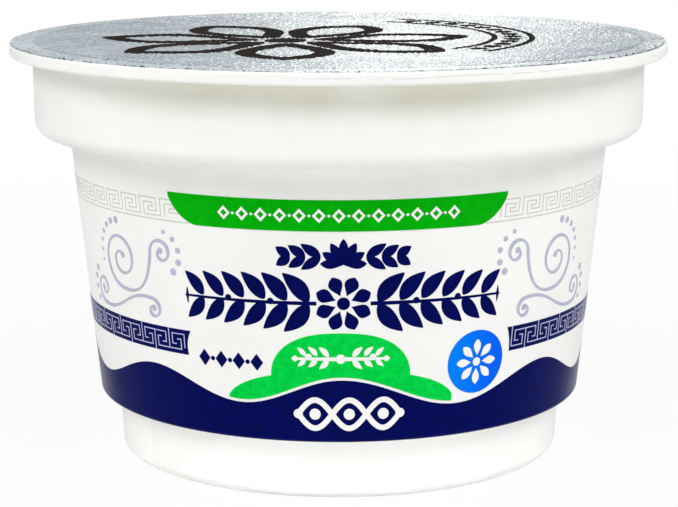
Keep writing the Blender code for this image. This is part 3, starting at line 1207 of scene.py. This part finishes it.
class AddKeyBand(bpy.types.Operator):
    """Print the dark key band round the wall with its light line of facing T shapes. One end
    leans and is hollowed by a parabola, and the other flares out at the top."""

    bl_idname = "yogurt_pot.add_key_band"
    bl_label = "Dark key band"

    def execute(self, context):
        sizes = settings().label
        low, high = sizes.band_bottom, sizes.band_top
        share = np.linspace(0.0, 1.0, 11)[None, :]
        right_gap, left_gap, flare, lean = 0.3 * MM, 3.15 * MM, 0.6 * MM, 0.5 * MM
        hollow = share * (1 - share) * 1.4 * MM
        first = sizes.band_right - right_gap - flare * share ** 2.5
        last = sizes.band_left + around() + left_gap + lean * share - hollow
        along = np.linspace(0.0, 1.0, 500)[:, None]
        grid_u = first * (1 - along) + last * along
        grid_v = np.broadcast_to(low + (high - low) * share, grid_u.shape)
        printed("print_key_band", [np.stack([grid_u, grid_v], -1)], "navy_ink")

        units = 33
        pitch = (sizes.band_left + around() - sizes.band_right) / units
        arm, hook = 2.0 * MM, 0.65 * MM
        low_bar, low_drop = low + 0.6 * MM, low + 1.9 * MM
        high_bar, high_drop = high - 0.6 * MM, high - 1.95 * MM
        paths = []
        for number in range(2 * units + 1):
            centre = sizes.band_right + pitch * number / 2
            edge, bar, drop = ((high, low_bar, low_drop), (low, high_bar, high_drop))[number % 2]
            paths.append([(centre, edge), (centre, bar)])
            path = [(centre + arm - hook, drop), (centre + arm, drop), (centre + arm, bar)]
            if number == 0:
                path.append((centre, bar))
            else:
                path += [(centre - arm, bar), (centre - arm, drop), (centre - arm + hook, drop)]
            paths.append(path)
        centre = sizes.band_left + pitch / 2
        paths.append([(centre, low + 0.85 * MM), (centre, high_bar), (centre - arm, high_bar),
                      (centre - arm, high_drop), (centre - arm + hook, high_drop)])
        grids = [stroke(resampled(path, TURN_STEP), sizes.band_line) for path in paths]
        printed("print_key_lines", grids, "lilac_ink", 1)
        return {"FINISHED"}


# Troughs and crests of the wave at the front, as (u, v) in millimetres, and its heights behind
WAVE_FRONT = [(-40.6, 12.95), (-26.5, 16.4), (-12.8, 13.05), (0.3, 16.4), (15.7, 12.55),
              (30.4, 16.25), (43.0, 12.6)]
BACK_TROUGH, BACK_CREST, BACK_STEPS = 12.8, 16.3, 10


def wave_top(u):
    """Upper edge of the wave: half cosines between troughs and crests. The front ones are set
    one by one, and the rest go round the back at even steps."""
    start, finish = WAVE_FRONT[-1][0], WAVE_FRONT[0][0] + around() / MM
    back = [(start + (finish - start) * k / BACK_STEPS, BACK_CREST if k % 2 else BACK_TROUGH)
            for k in range(1, BACK_STEPS)]
    nodes = np.array(WAVE_FRONT + back + [(finish, WAVE_FRONT[0][1])]) * MM
    u = (u - nodes[0, 0]) % around() + nodes[0, 0]
    index = np.clip(np.searchsorted(nodes[:, 0], u, side="right") - 1, 0, len(nodes) - 2)
    a, b = nodes[index], nodes[index + 1]
    share = (u - a[..., 0]) / (b[..., 0] - a[..., 0])
    return a[..., 1] + (b[..., 1] - a[..., 1]) * 0.5 * (1 - np.cos(math.pi * share))


class AddWave(bpy.types.Operator):
    """Print the dark wave round the foot of the wall, with a white braid of two strands on it.
    The wave's first rows lie close together, where it wraps the body's lower corner."""

    bl_idname = "yogurt_pot.add_wave"
    bl_label = "Wave"

    def execute(self, context):
        columns, start = 540, -40.2 * MM
        u = np.linspace(0.0, around(), columns, endpoint=False) + start
        foot = settings().wall.foot_height
        bottom = np.full_like(u, foot - 0.2 * MM)[:, None]
        straight = foot + 0.6 * MM  # the rounding ends below this height
        wrapped = bottom + (straight - bottom) * np.linspace(0.0, 1.0, 7)
        rows = np.concatenate([wrapped, wave_top(u)[:, None]], 1)
        wave = np.stack([np.broadcast_to(u[:, None], rows.shape), rows], -1)
        printed("print_wave", [], "navy_ink", 0, [wave])

        middle_u, middle_v, wide, tall = 1.3 * MM, 12.0 * MM, 13.2 * MM, 3.7 * MM
        eyes, turns, bold = 3, 1.5, 0.72 * MM
        share = np.linspace(0.0, 1.0, 100)
        grids = []
        for side in (-1, 1):
            height = middle_v + 0.5 * side * tall * np.sin(TAU * turns * share)
            strand = np.stack([middle_u + (share - 0.5) * wide, height], -1)
            grids.append(stroke(strand, bold))
        for eye in range(eyes):
            grids.append(dot((middle_u + (eye - 1) * wide / eyes, middle_v), bold, 11))
        for end in (-0.5, 0.5):
            grids.append(dot((middle_u + end * wide, middle_v), 0.6 * MM, 9))
        printed("print_wave_row", grids, "white_ink", 1)
        return {"FINISHED"}


class AddMound(bpy.types.Operator):
    """Print the green mound: a domed top on a brim that follows the wave, and a white sprig.

    The dome is a superellipse and the brim falls to its tips as a power of the distance."""

    bl_idname = "yogurt_pot.add_mound"
    bl_label = "Mound"

    def execute(self, context):
        sizes = settings().label
        centre, gap = sizes.mound_u, sizes.wave_gap
        half_dome, half_brim, dome_foot = 8.9 * MM, 14.85 * MM, 16.9 * MM
        inset = half_brim - 0.05 * MM
        side = half_dome * np.sin(np.linspace(-math.pi / 2, math.pi / 2, 90))
        u = np.unique(np.concatenate([side, np.linspace(-inset, inset, 160)]))
        low = wave_top(u + centre) + gap
        tips = np.array([centre - half_brim, centre + half_brim])
        tip = wave_top(tips).mean() + gap + 0.35 * MM
        brim_share = np.clip(np.abs(u) / half_brim, 0.0, 1.0)
        brim = tip + 3.9 * MM * (1 - brim_share ** 2.6) ** 0.62
        dome_share = np.clip(np.abs(u) / half_dome, 0.0, 1.0)
        dome = dome_foot + (sizes.mound_top - dome_foot) * (1 - dome_share ** 2.5) ** (1 / 2.1)
        high = np.maximum(np.where(np.abs(u) < half_dome, dome, 0.0), brim)
        grid = between(u + centre, low, np.maximum(high, low + 0.03 * MM))
        printed("print_mound", [grid], "mound_green", 1)

        sprig_v = 19.2 * MM
        grids = [dot((centre, sprig_v), 0.6 * MM, 9)]
        for way in (-1, 1):
            grids += laurel(centre + way * 0.6 * MM, sprig_v, reach=5.6 * MM,
                            spacing=1.45 * MM, size=1.75 * MM, width=0.72 * MM,
                            spread=math.radians(46), side=way)
        printed("print_mound_sprig", grids, "white_ink", 2)
        return {"FINISHED"}


class AddDisc(bpy.types.Operator):
    """Print the blue disc with a white rosette of eight petals."""

    bl_idname = "yogurt_pot.add_disc"
    bl_label = "Disc"

    def execute(self, context):
        sizes = settings().label
        wall_radius = 33.7  # of the wall at the disc's height, in millimetres
        stretch = sizes.label_radius / wall_radius / MM
        disc = oval(sizes.disc_u, sizes.disc_v, sizes.disc_radius * stretch, sizes.disc_radius, 40)
        finish = material("disc_blue", blue_ink)
        piece("print_disc", inked(disc, 1), finish)
        centre = (sizes.disc_u, sizes.disc_v)
        grids = [dot(centre, 0.55 * MM, 9)]
        grids += rosette(centre, petals=8, first=0.0, hub=0.85 * MM, size=2.1 * MM,
                         width=1.05 * MM, belly=0.58)
        printed("print_rosette", grids, "white_ink", 2)
        return {"FINISHED"}


class AddLozenges(bpy.types.Operator):
    """Print a short row of small dark lozenges and dots."""

    bl_idname = "yogurt_pot.add_lozenges"
    bl_label = "Lozenge row"

    def execute(self, context):
        count, middle_v = 4, 18.4 * MM
        start, pitch = -17.9, 2.45  # in millimetres
        s = np.linspace(-0.97, 0.97, 9)
        half = 1.1 * MM * (1 - np.abs(s))
        grids = []
        for number in range(count):
            centre = (start + number * pitch) * MM
            grids.append(between(centre + 0.86 * MM * s, middle_v - half, middle_v + half))
            if number < count - 1:
                grids.append(dot((centre + 1.22 * MM, middle_v), 0.3 * MM))
        printed("print_lozenges", grids, "navy_ink")
        return {"FINISHED"}


# ---------------------------------------------------------------- studio


def lamp(name, place, target, width, height, power):
    """A soft rectangular lamp that looks at a point."""
    data = bpy.data.lights.new(name, "AREA")
    data.shape, data.size, data.size_y, data.energy = "RECTANGLE", width, height, power
    obj = bpy.data.objects.new(name, data)
    bpy.context.scene.collection.objects.link(obj)
    obj.location = place
    way = np.array(target) - np.array(place)
    yaw = math.atan2(way[0], -way[1])
    tip = math.atan2(math.hypot(way[0], way[1]), -way[2])
    obj.rotation_euler = (tip, 0.0, yaw + math.pi)
    obj.visible_camera = False
    return obj


class AddStudio(bpy.types.Operator):
    """Set up the pale floor, the white room, the soft lamps and the camera. The floor lies a
    hair below the pot, so that it doesn't share a face with the standing ring."""

    bl_idname = "yogurt_pot.add_studio"
    bl_label = "Studio"

    def execute(self, context):
        studio = settings().studio
        scene = context.scene
        scene.view_settings.view_transform = "Standard"

        rows, reach, floor_z = 9, 1.6, -0.01 * MM
        side = np.linspace(-reach, reach, rows)
        x, y = np.meshgrid(side, side, indexing="ij")
        points = np.stack([x, y, np.full_like(x, floor_z)], -1).reshape(-1, 3)
        mesh = bpy.data.meshes.new("floor")
        mesh.from_pydata(points.tolist(), [], grid_faces(rows, rows, False).tolist())
        floor = bpy.data.objects.new("floor", mesh)
        scene.collection.objects.link(floor)
        mesh.materials.append(material("pale_floor", pale_floor))

        world = bpy.data.worlds.new("white_room")
        scene.world = world
        graph = Graph(world)
        camera_ray, mirror_ray = graph.rays()
        strength = (camera_ray * (1 - studio.fill) + mirror_ray * (studio.mirror - studio.fill)
                    + studio.fill)
        back = graph.add("ShaderNodeBackground", None,
                         {"Color": (1.0, 1.0, 1.0, 1.0), "Strength": strength})
        graph.add("ShaderNodeOutputWorld", None, {"Surface": back.outputs[0]})

        middle = (0.0, 0.0, POT_HIGH.z * 0.6)
        lamp("front", (0.0, -0.40, 0.48), middle, 0.9, 0.22, studio.front)
        lamp("left", (-0.46, -0.10, 0.42), middle, 0.45, 0.25, studio.left)
        lamp("right", (0.46, -0.10, 0.42), middle, 0.45, 0.25, studio.right)
        lamp("low", (0.0, -0.60, 0.06), (0.0, 0.0, 0.01), 0.7, 0.10, studio.low)
        strip = lamp("strip", (0.0, -0.30, 0.004), (0.0, 0.0, 0.003), 0.16, 0.006, studio.strip)
        strip.data.spread = math.radians(4)  # only the foot is this low
        rim = lamp("rim", (0.035, 0.50, 0.25), (0.0, 0.0, POT_HIGH.z), 0.10, 0.18, studio.rim)
        rim.data.color = (1.0, 0.89, 0.78)

        data = bpy.data.cameras.new("camera")
        data.sensor_width, data.lens = 36.0, studio.lens
        data.clip_start, data.clip_end = 0.01, 10.0
        camera = bpy.data.objects.new("camera", data)
        scene.collection.objects.link(camera)
        camera.location = (studio.camera_x, studio.camera_y, studio.camera_z)
        camera.rotation_euler = (math.pi / 2 - studio.pitch, studio.roll, 0.0)
        scene.camera = camera
        return {"FINISHED"}


# ---------------------------------------------------------------- add-on


class YogurtPotPanel(bpy.types.Panel):
    """The yogurt pot's pieces in the sidebar."""

    bl_idname = "VIEW3D_PT_yogurt_pot"
    bl_label = "Yogurt pot"
    bl_space_type = "VIEW_3D"
    bl_region_type = "UI"
    bl_category = "Yogurt pot"

    def draw(self, context):
        for operator in OPERATORS:
            self.layout.operator(operator.bl_idname)


SETTINGS = (WallSettings, FoilSettings, PrintSettings, ColourSettings, StudioSettings, PotSettings)
OPERATORS = (AddStudio, AddWall, AddFoil, AddFoilPrint, AddPaleKey, AddBanner, AddGarland,
             AddScrolls, AddKeyBand, AddWave, AddMound, AddDisc, AddLozenges)


def register():
    """Register the classes and the scene's settings."""
    for cls in (*SETTINGS, *OPERATORS, YogurtPotPanel):
        bpy.utils.register_class(cls)
    bpy.types.Scene.yogurt_pot = PointerProperty(type=PotSettings, name="Yogurt pot")


def unregister():
    """Take the settings and the classes away again."""
    del bpy.types.Scene.yogurt_pot
    for cls in reversed((*SETTINGS, *OPERATORS, YogurtPotPanel)):
        bpy.utils.unregister_class(cls)


def main():
    """Build every piece in order."""
    register()
    for operator in OPERATORS:
        group, name = operator.bl_idname.split(".")
        getattr(getattr(bpy.ops, group), name)()


if __name__ == "__main__":
    main()
